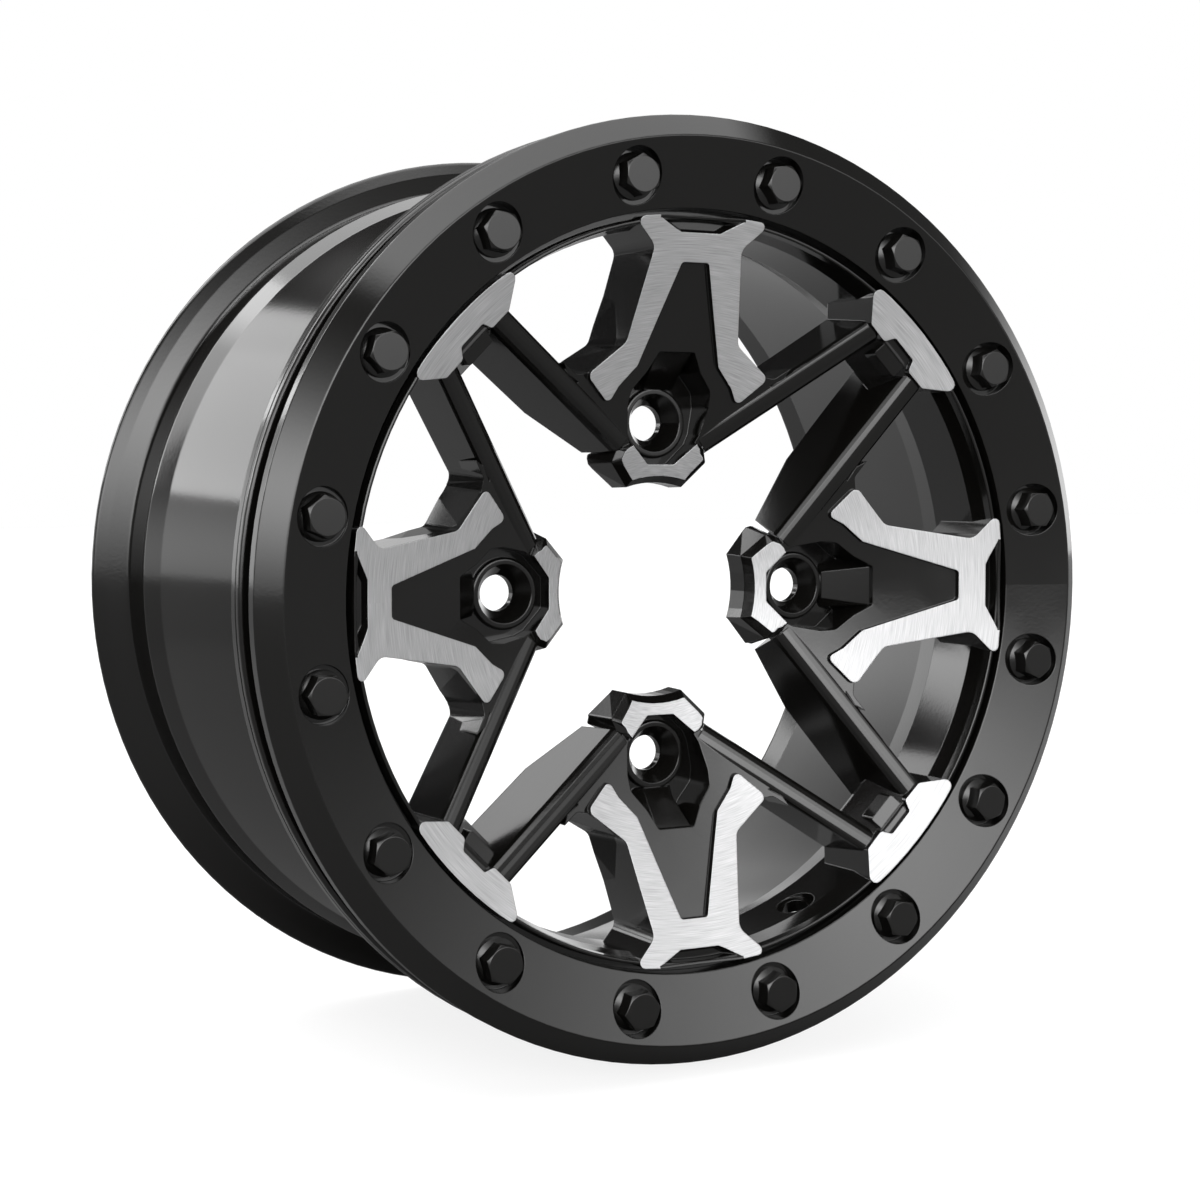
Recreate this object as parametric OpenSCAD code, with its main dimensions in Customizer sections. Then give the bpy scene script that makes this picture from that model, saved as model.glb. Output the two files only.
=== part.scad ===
// A 14 x 7 inch beadlock wheel for a utility vehicle: one cast wheel, a clamp ring that
// pinches the tyre's outer bead, and the flanged bolts that hold the ring.
// The spin axis is Y with +Y inboard, +Z is up, and the origin is the centre of the hub
// mounting face. Heights are measured outboard from that face, along -Y.

/* [Barrel] */
// Radius of both bead seats
bead_seat_r = 177.8; // [176:0.1:179]
// Height of the inboard lip over the bead seat
lip_over = 14.8; // [12:0.2:17]
// Depth of the inboard lip's crest behind the mounting face
lip_depth = 139.6; // [134:0.2:150]
// Height over the bead seat of the shoulder that backs the outer bead
shoulder_over = 9.7; // [7:0.1:12]
// Depth of the shoulder's bead face below the face that the ring is bolted down to
shoulder_drop = 7.5; // [6:0.5:9]
// Thickness of the shoulder
shoulder_t = 9.5; // [8:0.5:12]
// Depth of the well below the bead seats
well_depth = 23.8; // [22:0.2:26]
// Wall between the well and the bore, at the outboard end
well_wall = 8.5; // [7.5:0.5:9.5]
// Height at which the bore ends and the barrel starts to widen
bore_end_h = 12; // [8:1:16]
// Wall of the barrel between the beads
barrel_wall = 4.8; // [4:0.1:6]
// Width of the inboard bead seat
bead_seat_w = 17.2; // [15:0.2:19]
// Height of the safety hump over the bead seat
hump = 1; // [0.5:0.1:1.6]
// Height over the ring's seat of the rounded nose that ends the bore
nose_over = 6.8; // [6:0.1:7.2]

/* [Clamp ring] */
// Height of the face that the ring is bolted down to
ring_seat_h = 43; // [42:0.5:44]
// Height of the ring's edge over the bead seat
ring_over = 9.95; // [7:0.05:13]
// Distance from the bore of the wheel to the bore of the ring
ring_bore_gap = 6.25; // [5.75:0.25:7.5]
// Width of the outer chamfer
ring_chamfer_w = 8.75; // [7:0.25:10]
// Thickness where the dished face meets the chamfer
ring_t = 16; // [14:0.5:18]
// Thickness at the bore
ring_bore_t = 7.5; // [7:0.5:9]
// Thickness at the outer end of the chamfer
ring_edge_t = 8.5; // [7:0.5:10]
// Height of the lip that presses on the tyre bead, over the ring's seat
ring_lip_t = 3; // [2:0.5:4]
// How far the ring's foot stands inside the bead seat
ring_inset = 0.4; // [0.2:0.1:1]

/* [Ring bolts] */
// Number of ring bolts
bolt_count = 16; // [12:4:20]
// Distance of the bolt circle inside the bead seat
bolt_inset = 12.4; // [11:0.2:13.4]
// Thickness of the ring under the bolt heads, at the bolt circle
bolt_floor_t = 7.8; // [6:0.1:9]
// Width across the flats of the hexagon head
bolt_hex = 14; // [12:0.5:14.5]
// Turn of the hexagons from the radial direction, in degrees
bolt_turn = 18; // [0:1:60]
// Radius of the flange under the head
bolt_flange_r = 9.2; // [8.6:0.1:10]
// Thickness of that flange
bolt_flange_t = 2.4; // [1.5:0.1:3]
// Height of the head with its flange
bolt_head_h = 9.2; // [7:0.1:10]
// Radius of the shank
bolt_shank_r = 4; // [3:0.5:5]
// Length of the shank
bolt_shank_l = 20; // [16:0.5:21]
// Gap round the head in its counterbore
bolt_recess_gap = 1.8; // [1.3:0.1:2.3]
// Gap round the shank in the casting
thread_gap = 0.15; // [0.1:0.05:0.4]
// Gap round the shank in the ring
shank_gap = 0.5; // [0.3:0.1:1]

/* [Spider] */
// Height of the machined faces over the ring's seat, at the bore radius
face_over = 6.4; // [5.5:0.1:6.8]
// Rise of the machined faces for each millimetre of radius
face_slope = 0.347; // [0.33:0.001:0.36]
// Depth of the cast skin below the machined faces
skin_drop = 2.4; // [1:0.1:4]
// Radius at which the back of the spider turns up
back_bend_r = 90; // [85:1:95]
// Rise of the back for each millimetre beyond that radius
back_slope = 0.29; // [0.2:0.01:0.33]

/* [Ribs] */
// Distance of a rib's outer side from the diagonal, where the back bends
rib_offset = 27.9; // [27:0.1:28.5]
// Angle between a rib and the diagonal, in degrees
rib_angle = 10.2; // [9.5:0.1:11]
// Width of a rib's front, without its rounding
rib_w = 9; // [8:0.1:10.5]
// Draft of the side that faces the star-shaped opening, in degrees
rib_draft = 11.5; // [6:0.5:13]
// Rounding of a rib's edge on that side
rib_round = 5.4; // [3:0.1:6]
// Rounding of a rib's edge on the side of the window
rib_edge = 2.6; // [0.5:0.1:3]
// Draft of the side that faces the window, in degrees
rib_window_draft = 4.5; // [0:0.5:6]

/* [Lugs] */
// Radius of the lug circle
lug_circle_r = 68.5; // [68:0.1:69]
// Radius of the lug holes
lug_hole_r = 7.3; // [6.5:0.1:8]
// Radius of the tapered seat at its mouth
lug_seat_r = 11.9; // [11:0.1:12.4]
// Included angle of the tapered seat, in degrees
lug_seat_angle = 60; // [60:15:90]
// Outer radius of the boss round the seat
lug_boss_r = 14.4; // [14:0.1:15]
// Height of the boss
lug_boss_h = 11.6; // [11:0.1:13]
// Height of the pocket floor round the boss
pocket_h = 9.4; // [8:0.2:10.5]
// Radius of the arc that faces the hub
hub_arc_r = 44; // [43:0.1:45]

/* [Valve] */
// Radius of the valve hole
valve_r = 5.75; // [5:0.25:6.5]
// Radius of the recess at its mouth
valve_mouth_r = 8; // [7:0.5:9]
// Depth of that recess
valve_mouth_t = 4; // [3:0.5:5]
// Wall between the recess and the valve's seat
valve_wall = 6.5; // [5:0.5:7]
// Radius of the valve's seat on the side of the well
valve_seat_r = 8.5; // [8:0.5:9.5]
// Depth below the ring's seat at which the hole leaves the bore
valve_drop = 14; // [13:0.5:16]
// Direction of the hole round the wheel, in degrees from +X
valve_angle = -66.2; // [-70:0.1:-62]
// Tilt of the hole towards the well, in degrees
valve_tilt = 25; // [20:1:30]

/* [Hidden] */
$fn = 96;

coat = [0.13, 0.13, 0.13];
cut = 1;             // how far a cutter runs past what it cuts
deep = 50;           // longer than any depth of the spider
spokes = 4;
steps = 4;           // flats in a rounded corner

// Radii that follow from the bead seat
well_r = bead_seat_r - well_depth;
bore_r = well_r - well_wall;
lip_r = bead_seat_r + lip_over;
shoulder_r = bead_seat_r + shoulder_over;
ring_r = bead_seat_r + ring_over;
ring_face_r = ring_r - ring_chamfer_w;
ring_bore_r = bore_r + ring_bore_gap;
bolt_circle_r = bead_seat_r - bolt_inset;
fit_r = bore_r + 4.7;    // machined faces stop here, short of the clamp ring
outer_r = fit_r + cut;

// Heights that follow from the ring's seat
shoulder_h = ring_seat_h - shoulder_drop;
nose_h = ring_seat_h + nose_over;
face_h = ring_seat_h + face_over;
bolt_seat_h = ring_seat_h + bolt_floor_t;
web_h = face_h - 15.4;   // front of the feet of the spokes

// Heights of the machined faces, of the cast skin and of the back at a radius
function face_at(r) = face_h + face_slope * (r - bore_r);
function skin_at(r) = face_at(r) - skin_drop;
function back_at(r) = max(0, back_slope * (r - back_bend_r));

// Points that round the corner b between a and c to radius r
function unit(v) = v / norm(v);
function corner(a, b, c, r) =
    let (u = unit(a - b), w = unit(c - b), half = acos(u * w) / 2)
    let (mid = b + unit(u + w) * r / sin(half), p = b + u * r / tan(half) - mid)
    let (turn = (cross(u, w) > 0 ? -1 : 1) * (180 - 2 * half))
    [for (i = [0:steps]) let (t = turn * i / steps)
        mid + [p.x * cos(t) - p.y * sin(t), p.x * sin(t) + p.y * cos(t)]];

// Closed outline from corners [x, y] or [x, y, rounding]
function flat(p) = [p.x, p.y];
function rounded(pts) = let (n = len(pts)) [for (i = [0:n - 1]) each len(pts[i]) < 3
    ? [pts[i]]
    : corner(flat(pts[(i + n - 1) % n]), flat(pts[i]), flat(pts[(i + 1) % n]), pts[i].z)];

// Half outline on the right of the Y axis, bottom to top, joined to its mirror image
function mirrored(half) = concat(half,
    [for (i = [len(half) - 1:-1:0]) [for (k = [0:len(half[i]) - 1]) k == 0 ? -half[i][0] : half[i][k]]]);

// Points of an arc about the origin, from next to the Y axis to an angle
function arc(r, to, n) = [for (i = [1:n]) let (t = to * (i - 0.5) / (n - 0.5)) [r * sin(t), r * cos(t)]];

// An outline lifted to one height, and the solid that joins two rings of points
function at(h, pts) = [for (p = pts) [p.x, p.y, h]];
module loft(rings) {
    n = len(rings[0]);
    last = len(rings) - 1;
    polyhedron(
        points = [for (ring = rings) each ring],
        faces = concat(
            [[for (i = [0:n - 1]) i]],
            [[for (i = [n - 1:-1:0]) last * n + i]],
            [for (k = [0:last - 1]) for (i = [0:n - 1]) let (a = k * n + i, b = k * n + (i + 1) % n)
                each [[a, a + n, b + n], [a, b + n, b]]]));
}

// Turns a shape that stands outboard-up on its Z axis into the wheel's frame
module in_wheel_frame() { rotate([90, 0, 0]) children(); }

// Copies at every spoke
module at_spokes() { for (i = [0:spokes - 1]) rotate(i * 360 / spokes) children(); }

// Copies on the diagonals between the spokes
module at_diagonals() { at_spokes() rotate(-180 / spokes) children(); }

// Everything under a surface that follows the machined faces, and everything over the back
module under_faces(lift) {
    rotate_extrude()
        polygon([[36, -deep], [outer_r, -deep], [outer_r, face_at(outer_r) + lift],
            [36, face_at(36) + lift]]);
}
module over_back() {
    rotate_extrude()
        polygon([[30, 0], [back_bend_r, 0], [outer_r + cut, back_at(outer_r + cut)],
            [outer_r + cut, deep + 4 * cut], [30, deep + 4 * cut]]);
}

// A wall that runs from behind the spider to beyond its faces; start sets how far behind
module wall(start, outline) {
    translate([0, 0, -start]) linear_extrude(deep + 2 * start) polygon(rounded(mirrored(outline)));
}

// Section of the barrel, from the nose over the outside to the inboard lip and back inside
module barrel() {
    groove_h = shoulder_h - 4;
    shoulder_back = shoulder_h - shoulder_t;
    well_end_h = -5;
    seat_back = -lip_depth + 6.1;
    seat_front = seat_back + bead_seat_w;
    cone_end = seat_front + 16.3;
    cone_r = bead_seat_r - 3.2;
    inside_r = cone_r - barrel_wall + 3;
    rotate_extrude()
        polygon(rounded([
            [bore_r, bore_end_h], [bore_r, ring_seat_h - 5], [bore_r + 1.5, nose_h - 4],
            [bore_r + 1.9, nose_h, 0.6], [bore_r + 3.4, nose_h, 0.6],
            [bore_r + 3.6, ring_seat_h, 0.5],
            [bead_seat_r, ring_seat_h, 0.4], [bead_seat_r, shoulder_h, 0.8],
            [shoulder_r, shoulder_h, 1.6],
            [shoulder_r, groove_h + 0.6], [shoulder_r - 0.7, groove_h], [shoulder_r, groove_h - 0.6],
            [shoulder_r, shoulder_back, 1.2], [well_r, shoulder_back, 6],
            [well_r, well_end_h, 12], [cone_r, cone_end, 6],
            [bead_seat_r + hump, seat_front + 6, 2.5], [bead_seat_r, seat_front, 1.2],
            [bead_seat_r + 0.5, seat_back, 2], [lip_r - 5.5, seat_back - 3, 3],
            [lip_r, -lip_depth + 0.4, 2], [lip_r - 0.3, -lip_depth - 4, 2.2],
            [lip_r - 9.5, -lip_depth - 2, 3], [inside_r + 1.6, seat_back - 1, 4],
            [inside_r + 1, seat_front - 1.2], [inside_r + 0.2, seat_front + 0.4],
            [well_r - barrel_wall + 0.4, -3, 5]
        ]));
}

// Half outline of the machined face on a main spoke
spoke_face = [
    [6.15, bore_r - 14.3, 1.6], [18.9, 90.7, 2], [26.3, 82.4, 2], [30, 75.4, 2.2], [42.2, 86.4, 2.6],
    [25.9, 99.5, 5], [19.8, bore_r - 8.7, 5], [31.2, bore_r + 1.7, 2.1], [17.6, bore_r + 3.1, 2.5]];

// Position on a rib's outer side, level with a distance along the diagonal
function rib_side(d) = rib_offset - tan(rib_angle) * (d - back_bend_r);
// The same, moved inwards, in the frame of the spoke on the left of the diagonal
function by_spoke(d, inset) = let (v = rib_side(d) - inset) [d - v, d + v] * sin(45);

// Half outline of the cast skin between and below the machined faces of a spoke
foot_d = 91;
spoke_skin = [
    [10, 48.3], [17, 56.5], by_spoke(60, rib_w / 2), by_spoke(foot_d + 2, rib_w / 2),
    by_spoke(foot_d, 0.5), [38.5, 84.8], [34, 86.5], [22.5, 97], [13.5, bore_r - 14.5], [15, bore_r - 9.5],
    [20, bore_r + 1.7]];

// Foot of a spoke beside a rib, with walls that spread towards the back
module web() {
    inside = [[22, 84], [38, 80], [50.5, 87], [52.9, 91.1]];
    back = concat(inside, [
        [46.3, 88.6, 6.6], [40.5, 92.3], [27.6, 100.4, 4],
        [21.3, bore_r - 19.5]]);
    front = concat(inside, [
        [45.8, 86.3, 2.5], [41, 87], [25.5, 99.2, 4],
        [20.5, bore_r - 19.5]]);
    loft([at(-3 * cut, rounded(back)), at(web_h, rounded(front))]);
}

// Hub end of a spoke: an arc and two ears, flared towards the mounting face
module hub_end() {
    foot = [[25.2, 51.5, 1], [26, 55, 1], [12, 62]];
    waist = [[22.2, 52.2, 1], [20.4, 57.8, 1], [12, 62]];
    crown = [[16.6, 54.9, 1], [14, 58.1, 1], [12, 62]];
    waist_h = 11;
    crown_h = face_at(hub_arc_r) + 7.8;
    loft([at(-2 * cut, rounded(mirrored(concat(arc(hub_arc_r, 18, 4), foot)))),
        [for (p = rounded(mirrored(concat(arc(hub_arc_r + 0.1, 17.2, 4), waist))))
            [p.x, p.y, waist_h + (norm(p) - hub_arc_r) / 3]],
        at(crown_h, rounded(mirrored(concat(arc(hub_arc_r + 7.3, 12.5, 4), crown))))]);
}

// One of the two ribs that run from the hub to the rim beside a diagonal
module rib() {
    inner_d = 56;
    outer_d = bore_r - 4.5;
    low_d = 68;
    low = [rib_side(low_d), low_d];
    high = [rib_side(outer_d - 11), outer_d - 11];
    tilt = atan2(skin_at(norm(high)) - skin_at(norm(low)), norm(high - low));
    reach = (outer_d - inner_d) / cos(rib_angle) / cos(tilt);
    start_h = skin_at(norm(low)) - (low_d - inner_d) / cos(rib_angle) * tan(tilt);
    translate([rib_side(inner_d), inner_d, start_h]) rotate(rib_angle) rotate([tilt, 0, 0])
        translate([0, reach, 0]) rotate([90, 0, 0]) linear_extrude(reach)
            polygon(rounded([[deep * tan(rib_window_draft), -deep], [0, 0, rib_edge],
                [-rib_w, 0, rib_round], [-rib_w - deep * tan(rib_draft), -deep]]));
}

// Half outline of the pad between two ribs at the rim
pad_face = concat(
    [[6.3, bore_r - 4.9, 1.4], [8.4, bore_r - 8.7, 1], [9.4, bore_r - 9.2], [18.4, bore_r - 9.2, 2],
        [31.5, bore_r + 1.4, 2.6]],
    [for (a = [8:-2.5:0.5]) [fit_r * sin(a), fit_r * cos(a)]]);

// Tab that stands in the notch of the pad
module pad_tab() {
    translate([0, 0, face_h - 21.4]) linear_extrude(deep)
        polygon(rounded(mirrored([[7, bore_r - 14, 1.2], [7, bore_r - 3.5]])));
}

// Sloping wall under the pad that ends the star-shaped opening
module pad_wall() {
    width = 30;
    wall_r = bore_r + 0.9;
    foot_h = face_h - 27.4;
    top_h = face_h - 4.8;
    translate([-width / 2, 0, 0]) rotate([90, 0, 90]) linear_extrude(width)
        polygon([[bore_r - 18.5, foot_h + 4.4], [bore_r - 16.5, foot_h], [wall_r, foot_h],
            [wall_r, top_h], [bore_r - 8.3, top_h]]);
}

// Spider: machined faces on full walls, the cast skin below them, and one back under all
module spider() {
    intersection() {
        union() {
            intersection() {
                union() {
                    at_spokes() { wall(2 * cut, spoke_face); hub_end(); }
                    at_diagonals() { rib(); mirror([1, 0, 0]) rib(); wall(2 * cut, pad_face); }
                }
                under_faces(0);
            }
            intersection() {
                union() {
                    at_spokes() { wall(cut, spoke_skin); web(); mirror([1, 0, 0]) web(); }
                    at_diagonals() pad_tab();
                }
                under_faces(-skin_drop);
            }
        }
        over_back();
    }
    at_diagonals() pad_wall();
}

// Recess between the horns of a spoke, with sloping walls
module horn_recess() {
    floor_in = bore_r - 1.7;
    floor_out = bore_r + 1.6;
    top_in = bore_r - 4.8;
    top_out = bore_r + 2.2;
    loft([at(face_h - 4, [[8, floor_in], [14.2, floor_out], [-14.2, floor_out], [-8, floor_in]]),
        at(face_h + 2.6, [[9.9, top_in], [20.8, top_out], [-20.8, top_out], [-9.9, top_in]])]);
}

// Pocket round a lug
module pocket() {
    translate([0, 0, pocket_h]) linear_extrude(deep)
        polygon(rounded(mirrored([
            [6.2, 51.4, 1.5], [15, 59.5, 2], [17, 63.7, 3], [19, 74.6, 5], [18.6, 81, 4],
            [12.6, 88.5, 3], [8.2, 96.6, 1.2]])));
}

// Ramp that runs down the pocket to the boss
module ramp() {
    low_y = 82;
    high_y = 97.2;
    low_h = pocket_h + 2.8;
    high_h = skin_at(high_y) - 1.7;
    loft([at(pocket_h - cut, [[9.5, low_y], [14, high_y], [-14, high_y], [-9.5, low_y]]),
        [[5.6, low_y + 0.3, low_h], [8.2, high_y + 0.2, high_h], [-8.2, high_y + 0.2, high_h],
            [-5.6, low_y + 0.3, low_h]]]);
}

// Round boss with the tapered seat for a lug nut
module boss() {
    translate([0, lug_circle_r, 0]) rotate_extrude()
        polygon(rounded([[0, cut], [lug_boss_r, cut], [lug_boss_r, lug_boss_h, 1],
            [lug_seat_r - 0.6, lug_boss_h], [0, lug_boss_h]]));
}
module lug_hole() {
    seat_depth = (lug_seat_r - lug_hole_r) / tan(lug_seat_angle / 2);
    translate([0, lug_circle_r, 0]) rotate_extrude()
        polygon([[0, -cut], [lug_hole_r, -cut], [lug_hole_r, lug_boss_h - seat_depth],
            [lug_seat_r, lug_boss_h], [lug_seat_r, deep], [0, deep]]);
}

// Valve hole from the bore into the well, with a recess at its mouth and a seat at its far end
module valve_hole() {
    seat_at = valve_mouth_t + valve_wall;
    rotate(valve_angle) translate([bore_r, 0, ring_seat_h - valve_drop]) rotate([0, 90 + valve_tilt, 0]) {
        translate([0, 0, -valve_mouth_r]) cylinder(h = deep, r = valve_r);
        translate([0, 0, -valve_mouth_r]) cylinder(h = valve_mouth_r + valve_mouth_t, r = valve_mouth_r);
        translate([0, 0, seat_at]) cylinder(h = deep, r = valve_seat_r);
    }
}

// Copies at every ring bolt, X pointing outwards
module at_bolts() {
    for (i = [0:bolt_count - 1]) rotate((i + 0.5) * 360 / bolt_count)
        translate([bolt_circle_r, 0, 0]) children();
}

module wheel_casting() {
    tip_gap = 1.2;
    bolt_hole_r = bolt_shank_r + thread_gap;
    bolt_end = bolt_seat_h - bolt_shank_l;
    color(coat) in_wheel_frame() difference() {
        union() {
            barrel();
            difference() {
                spider();
                at_spokes() { horn_recess(); pocket(); }
            }
            at_spokes() { ramp(); boss(); }
        }
        at_spokes() lug_hole();
        at_bolts() translate([0, 0, bolt_end - tip_gap]) cylinder(h = deep, r = bolt_hole_r);
        valve_hole();
    }
}

module clamp_ring() {
    foot_r = bead_seat_r - ring_inset;
    lip_h = ring_seat_h + ring_lip_t;
    color(coat) in_wheel_frame() difference() {
        rotate_extrude()
            polygon(rounded([
                [ring_bore_r, ring_seat_h, 0.5], [foot_r, ring_seat_h], [foot_r, lip_h],
                [ring_r, lip_h, 0.8], [ring_r, ring_seat_h + ring_edge_t, 0.8],
                [ring_face_r, ring_seat_h + ring_t, 1], [ring_bore_r, ring_seat_h + ring_bore_t, 0.5]]));
        at_bolts() {
            translate([0, 0, bolt_seat_h]) cylinder(h = deep, r = bolt_flange_r + bolt_recess_gap);
            translate([0, 0, ring_seat_h - cut]) cylinder(h = deep, r = bolt_shank_r + shank_gap);
        }
    }
}

// Flanged hexagon bolt: head with a chamfered top, conical flange and shank
module bolt() {
    hex_r = bolt_hex / sqrt(3);
    crown_r = bolt_hex / 2 - 0.2;
    chamfer = (hex_r + cut - crown_r) * tan(30);
    rotate_extrude()
        polygon([[0, 0], [bolt_flange_r, 0], [bolt_flange_r, bolt_flange_t / 2],
            [bolt_hex / 2, bolt_flange_t], [0, bolt_flange_t]]);
    intersection() {
        linear_extrude(bolt_head_h) rotate(bolt_turn + 30) circle(r = hex_r, $fn = 6);
        rotate_extrude()
            polygon([[0, -cut], [hex_r + cut, -cut], [hex_r + cut, bolt_head_h - chamfer],
                [crown_r, bolt_head_h], [0, bolt_head_h]]);
    }
    rotate_extrude()
        polygon([[0, -bolt_shank_l], [bolt_shank_r - 0.8, -bolt_shank_l],
            [bolt_shank_r, -bolt_shank_l + 0.8], [bolt_shank_r, cut], [0, cut]]);
}

module ring_bolts() {
    color(coat) in_wheel_frame() at_bolts() translate([0, 0, bolt_seat_h]) bolt();
}

wheel_casting();
clamp_ring();
ring_bolts();
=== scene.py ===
"""A 14 x 7 inch beadlock wheel: one cast wheel with machined faces, its clamp ring and the
sixteen bolts of the ring. Metres; the spin axis is Y, outboard is -Y, and Z is up."""

import bpy
import numpy as np
from mathutils import Matrix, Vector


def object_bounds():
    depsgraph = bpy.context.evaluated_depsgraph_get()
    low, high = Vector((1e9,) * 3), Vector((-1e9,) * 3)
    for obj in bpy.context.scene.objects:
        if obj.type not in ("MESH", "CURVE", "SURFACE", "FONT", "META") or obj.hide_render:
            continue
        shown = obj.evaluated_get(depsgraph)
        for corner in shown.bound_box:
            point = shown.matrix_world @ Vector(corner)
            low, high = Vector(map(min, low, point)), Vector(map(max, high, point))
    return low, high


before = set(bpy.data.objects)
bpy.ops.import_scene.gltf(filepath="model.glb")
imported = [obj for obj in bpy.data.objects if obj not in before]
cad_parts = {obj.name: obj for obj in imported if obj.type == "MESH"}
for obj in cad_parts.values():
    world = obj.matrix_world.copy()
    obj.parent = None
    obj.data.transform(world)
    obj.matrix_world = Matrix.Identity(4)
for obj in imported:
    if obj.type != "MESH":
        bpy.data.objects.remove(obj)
cad_box = [list(corner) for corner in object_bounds()]


# Camera: eye level just above the hub, a good arm's length off to the left of the wheel's
# outboard face, with a short telephoto lens.
def stand(name, data, axes, origin):
    """Adds an object whose own X, Y and Z point along the three axes, at the origin given."""
    made = bpy.data.objects.new(name, data)
    rows = np.column_stack([*axes, origin]).tolist()
    made.matrix_world = Matrix([*rows, (0, 0, 0, 1)])
    bpy.context.scene.collection.objects.link(made)
    return made


azimuth, elevation, roll = np.radians((-28.4200149, 3.24162888, -0.0402088))
level = np.array([np.sin(azimuth), -np.cos(azimuth), 0])
back = level * np.cos(elevation) + np.array([0, 0, np.sin(elevation)])
side = np.cross(-back, (0, 0, 1))
side /= np.linalg.norm(side)
up = np.cross(side, -back)
right = np.cos(roll) * side + np.sin(roll) * up
above = np.cos(roll) * up - np.sin(roll) * side
eye = (-0.45551638, -0.8062887, 0.04752433)
lens = bpy.data.cameras.new("view")
lens.lens, lens.sensor_width, lens.clip_start = 66.684, 36, 0.01
bpy.context.scene.camera = stand("view", lens, (right, above, back), eye)
bpy.context.scene.view_settings.view_transform = "Standard"


# The cast wheel: aluminium, coated satin black all over, then turned bright on the faces of the
# spokes, hub ears and rim pads, where the tool leaves fine marks round the axis. The turned
# faces all lie on one cone, so a point is bright where it lies on that cone and faces outboard.
class Value:
    """A shader socket; arithmetic on it adds the Math nodes that work it out."""

    def __init__(self, finish, socket):
        self.finish, self.socket = finish, socket

    def math(self, operation, *others):
        return self.finish.value("Math", dict(operation=operation), [self, *others])

    def __add__(self, other):
        return self.math("ADD", other)

    def __sub__(self, other):
        return self.math("SUBTRACT", other)

    def __rsub__(self, other):
        return self.math("MULTIPLY_ADD", -1.0, other)

    def __mul__(self, other):
        return self.math("MULTIPLY", other)

    def __truediv__(self, other):
        return self.math("DIVIDE", other)

    def __pow__(self, other):
        return self.math("POWER", other)

    def __lt__(self, other):
        return self.math("LESS_THAN", other)

    def __gt__(self, other):
        return self.math("GREATER_THAN", other)

    def __abs__(self):
        return self.math("ABSOLUTE")

    __radd__, __rmul__ = __add__, __mul__


class Finish:
    """The node tree of a finish, or of the light round the object."""

    def __init__(self, owner):
        owner.use_nodes = True
        self.owner, self.tree = owner, owner.node_tree
        self.tree.nodes.clear()

    def node(self, kind, settings={}, inputs=()):
        """Adds a node, makes its settings, then sets or links its sockets."""
        made = self.tree.nodes.new("ShaderNode" + kind)
        for name, setting in settings.items():
            setattr(made, name, setting)
        for name, given in inputs.items() if isinstance(inputs, dict) else enumerate(inputs):
            if isinstance(given, Value):
                self.tree.links.new(given.socket, made.inputs[name])
            else:
                made.inputs[name].default_value = given
        return made

    def value(self, kind, settings={}, inputs=(), output=0):
        return Value(self, self.node(kind, settings, inputs).outputs[output])

    def split(self, vector):
        """The x, y and z of a vector."""
        parts = self.node("SeparateXYZ", {}, [vector])
        return [Value(self, parts.outputs[i]) for i in range(3)]

    def place(self):
        """Where a point lies, in Object coordinates."""
        return self.value("TexCoord", output="Object")

    def noise(self, vector, scale, detail=2.0):
        """Smooth random pattern between 0 and 1, centred on a half."""
        return self.value("TexNoise", {}, {"Vector": vector, "Scale": scale, "Detail": detail})

    def blend(self, mask, low, high):
        """The colour low where mask is 0, and high where it is 1."""
        return self.value("Mix", dict(data_type="RGBA"), {0: mask, 6: low, 7: high}, output=2)

    def coat(self, drift):
        """Colour and roughness of the satin black coat, which drift varies a little."""
        deep, worn = (0.0024, 0.0022, 0.0019, 1), (0.0034, 0.0032, 0.0029, 1)
        return self.blend(drift, deep, worn), drift * 0.05 + 0.09

    def rounded(self, radius, height, depth):
        """Normal with edges rounded to a radius and the pattern height pressed in to a depth."""
        edge = self.value("Bevel", dict(samples=6), {"Radius": radius})
        return self.value("Bump", {}, {"Height": height, "Distance": depth, "Normal": edge})

    def surface(self, **inputs):
        """Ends the finish in one Principled surface; names have _ for spaces."""
        named = {name.replace("_", " "): given for name, given in inputs.items()}
        shader = self.value("BsdfPrincipled", {}, named)
        self.node("OutputMaterial", {}, {"Surface": shader})
        return self.owner


def dress(node, material):
    """Gives a node of the frame one finish."""
    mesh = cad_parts[node].data
    mesh.materials.clear()
    mesh.materials.append(material)


# how far outboard the cone lies at one radius, and how much farther per metre outwards
face_height, face_radius, face_rise = 0.0494, 0.1455, 0.347
# how near the cone, how square to the axis and how far out a turned point may lie
face_slack, face_square, face_end = 0.0003, 0.8, 0.1506
# the strip between a spoke's horns stays black: from how far along, and half its width
strip_start, strip_half = 0.1473, 0.0195
# how often the tool's marks change, per metre outwards and per radian round the axis, and
# their darkest and lightest colour
marks_out, marks_round = 3000.0, 9.0
groove, ridge = (0.2, 0.2, 0.204, 1), (0.66, 0.66, 0.665, 1)

casting = Finish(bpy.data.materials.new("cast_wheel"))
place = casting.place()
x, y, z = casting.split(place)
radius = (x * x + z * z) ** 0.5
angle = z.math("ARCTAN2", x)
outward = casting.value(
    "VectorMath",
    dict(operation="DOT_PRODUCT"),
    [casting.value("NewGeometry", output="True Normal"), (0, -1, 0)],
    output="Value",
)
off_face = abs(y + face_height + (radius - face_radius) * face_rise)
along, across = abs(x).math("MAXIMUM", abs(z)), abs(x).math("MINIMUM", abs(z))
strip = (along > strip_start) * (across < strip_half)
turned = (off_face < face_slack) * (outward > face_square) * (radius < face_end) * (1 - strip)
marks = casting.value("CombineXYZ", {}, [radius * marks_out, angle * marks_round, 0.0])
marks = casting.noise(marks, scale=1.0, detail=3.0)
peel = casting.noise(place, scale=700.0)
black, sheen = casting.coat(casting.noise(place, scale=18.0, detail=3.0))
grain = (1 - turned) * peel + turned * marks
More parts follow.
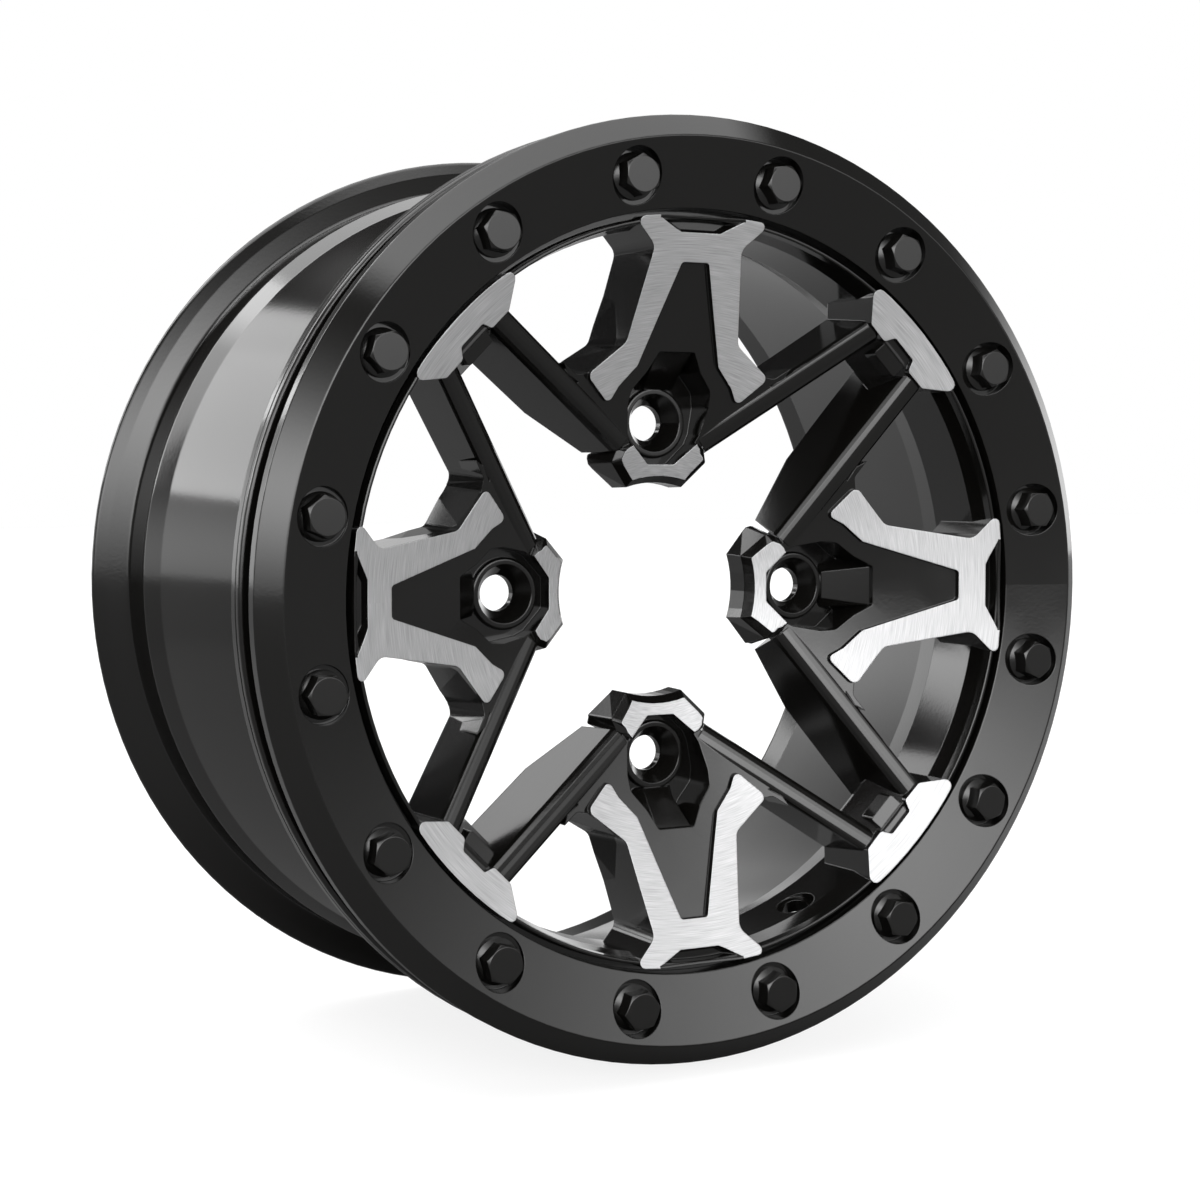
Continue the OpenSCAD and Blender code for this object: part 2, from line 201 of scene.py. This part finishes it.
dress(
    "wheel_casting",
    casting.surface(
        Base_Color=casting.blend(turned, black, casting.blend(marks, groove, ridge)),
        Metallic=turned * 0.7,
        Roughness=(1 - turned) * sheen + turned * (marks * 0.2 + 0.38),
        Normal=casting.rounded(radius=0.0006, height=grain, depth=0.00001),
    ),
)

# The clamp ring: turned from plate, coated with the same satin black; its rim and counterbores
# have small broken edges.
ring = Finish(bpy.data.materials.new("clamp_ring"))
place = ring.place()
peel = ring.noise(place, scale=760.0)
black, sheen = ring.coat(ring.noise(place, scale=22.0, detail=3.0))
dress(
    "clamp_ring",
    ring.surface(
        Base_Color=black,
        Roughness=sheen,
        Normal=ring.rounded(radius=0.0005, height=peel, depth=0.000008),
    ),
)

# The ring bolts: flanged hexagon heads of forged steel, blackened, so a little duller than the
# coats and with a finer grain.
bolts = Finish(bpy.data.materials.new("ring_bolts"))
grain = bolts.noise(bolts.place(), scale=1500.0, detail=3.0)
dress(
    "ring_bolts",
    bolts.surface(
        Base_Color=bolts.blend(grain, (0.003, 0.0028, 0.0025, 1), (0.005, 0.0048, 0.0045, 1)),
        Roughness=grain * 0.08 + 0.16,
        Normal=bolts.rounded(radius=0.0004, height=grain, depth=0.000008),
    ),
)

# Floor: a wide pale sheet that the wheel stands on. The camera sees it near white with the
# wheel's shadow on it, and the coats mirror it dim.
reach, low = 9.0, cad_box[0][2]
floor_mesh = bpy.data.meshes.new("floor")
corners = [(reach * i, reach * j, low) for i, j in ((-1, -1), (1, -1), (1, 1), (-1, 1))]
floor_mesh.from_pydata(corners, [], [(0, 1, 2, 3)])
floor = bpy.data.objects.new("floor", floor_mesh)
bpy.context.scene.collection.objects.link(floor)
sheet = Finish(bpy.data.materials.new("floor"))
seen = sheet.value("LightPath", output="Is Camera Ray")
floor_mesh.materials.append(
    sheet.surface(
        Base_Color=(0.15, 0.15, 0.15, 1),
        Roughness=1.0,
        Emission_Color=sheet.blend(seen, (0, 0, 0, 1), (0.83, 0.83, 0.83, 1)),
        Emission_Strength=1.0,
    )
)

# Light: a dim room with a pale horizon behind the wheel. A long low softbox glows in front of
# it, a shorter one to the left of that, and overhead a wide one that is brighter on the left and
# reaches lower down behind. The camera itself sees plain white.
world = bpy.data.worlds.new("studio")
bpy.context.scene.world = world
studio = Finish(world)
east, north, rise = studio.split(studio.value("TexCoord", output="Generated"))
# degrees round from straight in front of the wheel, and degrees over the horizon
turn = east.math("ARCTAN2", north * -1.0) * (180 / np.pi)
climb = rise.math("ARCSINE") * (180 / np.pi)


def glow(strength, turn_at, turn_width, climb_at, climb_width):
    """Softbox: strength times exp(-turn part - climb part), each half the square of the distance
    from where it stands over its width."""
    sideways, upward = (turn - turn_at) / turn_width, (climb - climb_at) / climb_width
    return ((sideways * sideways + upward * upward) * -0.5).math("EXPONENT") * strength


def ramp(value, start, end):
    """0 at start and before it, 1 at end and past it, straight between."""
    return ((value - start) / (end - start)).math("MAXIMUM", 0.0).math("MINIMUM", 1.0)


all_round = 1e6
front = glow(7.2, turn_at=-10.0, turn_width=31.0, climb_at=17.0, climb_width=10.0)
front_left = glow(4.6, turn_at=-64.0, turn_width=14.0, climb_at=16.0, climb_width=10.0)
lowered = ramp(north, start=0.2, end=0.6) * 11.0
overhead = ramp(climb + lowered, start=50.0, end=56.0) * (2.9 - east * 1.9)
horizon = glow(1.6, turn_at=0.0, turn_width=all_round, climb_at=4.0, climb_width=8.0)
behind_only = ramp(north, start=0.3, end=0.4)
# by how much the horizon dims in a band on the right
dip = ramp(east, start=0.25, end=0.32) * ramp(east, start=0.6, end=0.5) * 0.4
room = 0.11 - north * 0.09
light = front + front_left + overhead + horizon * behind_only * (1 - dip) + room
seen = (
    studio.value("LightPath", output="Is Camera Ray")
    + studio.value("LightPath", output="Is Transmission Ray")
)
light = light * (1 - seen) + seen
sky = studio.value("Background", {}, {"Color": (1, 1, 1, 1), "Strength": light})
studio.node("OutputWorld", {}, {"Surface": sky})

# Side light: three softboxes along a wall on the left, from just behind the wheel backwards.
# They light the outside of the barrel and, through its open back, the far side of its inside.
wall_x = -0.8
facing_right = ((0, -1, 0), (0, 0, 1), (-1, 0, 0))
# each box's middle lies so far behind the hub and over it
for behind, over, length, tall, radiance in (
    (0.975, 1.075, 0.95, 1.65, 4.2),
    (1.925, 1.55, 0.95, 1.1, 3.6),
    (2.8, 1.13, 0.8, 0.8, 3.6),
):
    softbox = bpy.data.lights.new("softbox", "AREA")
    softbox.shape, softbox.size, softbox.size_y = "RECTANGLE", length, tall
    softbox.energy = radiance * np.pi * length * tall
    stand("softbox", softbox, facing_right, (wall_x, behind, over))
